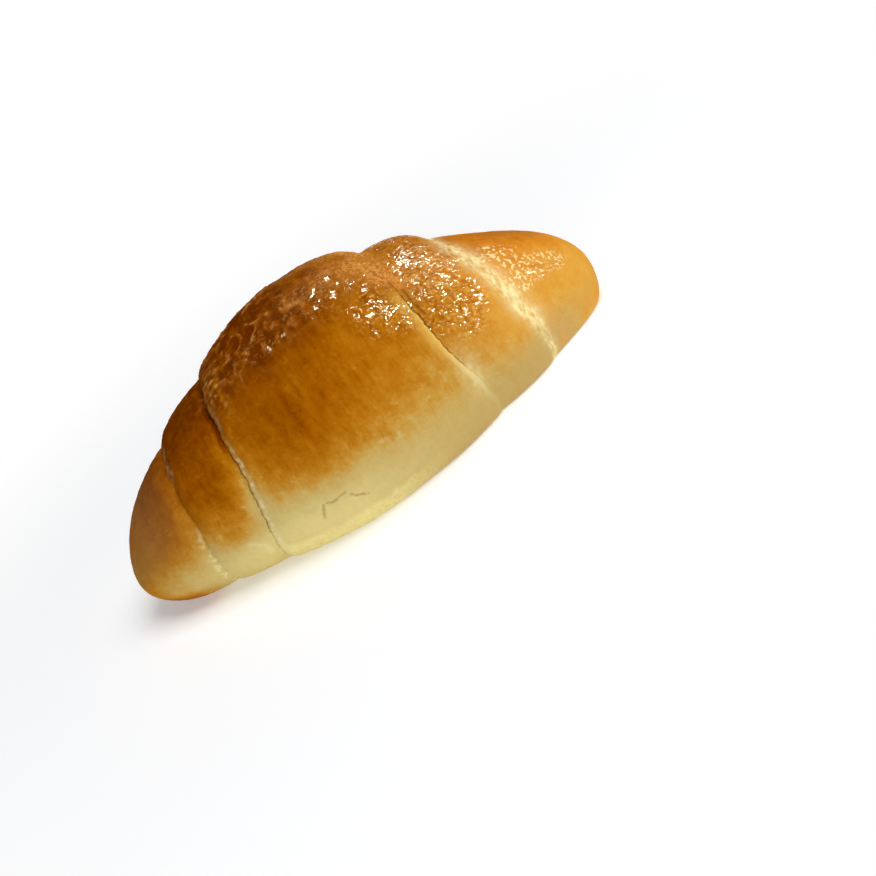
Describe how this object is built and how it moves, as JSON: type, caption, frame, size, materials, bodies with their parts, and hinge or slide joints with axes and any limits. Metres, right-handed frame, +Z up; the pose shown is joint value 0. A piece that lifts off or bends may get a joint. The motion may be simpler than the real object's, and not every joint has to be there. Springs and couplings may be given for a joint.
{
  "type": "salt bread roll",
  "caption": "Browned spindle-shaped bread roll wound from a strip of dough, with stepped lips towards both tips and a flat base to rest on.",
  "frame": {"origin": "on the flat base, under the middle of the roll's box", "axes": "+X along the roll from its left tip to its right tip, +Y towards its back, +Z up through its browned top"},
  "size_m": [0.131, 0.0672, 0.0484],
  "materials": {
    "crust": "satin"
  },
  "bodies": {
    "root": {"salt_bread_roll": "crust"}
  },
  "joints": []
}
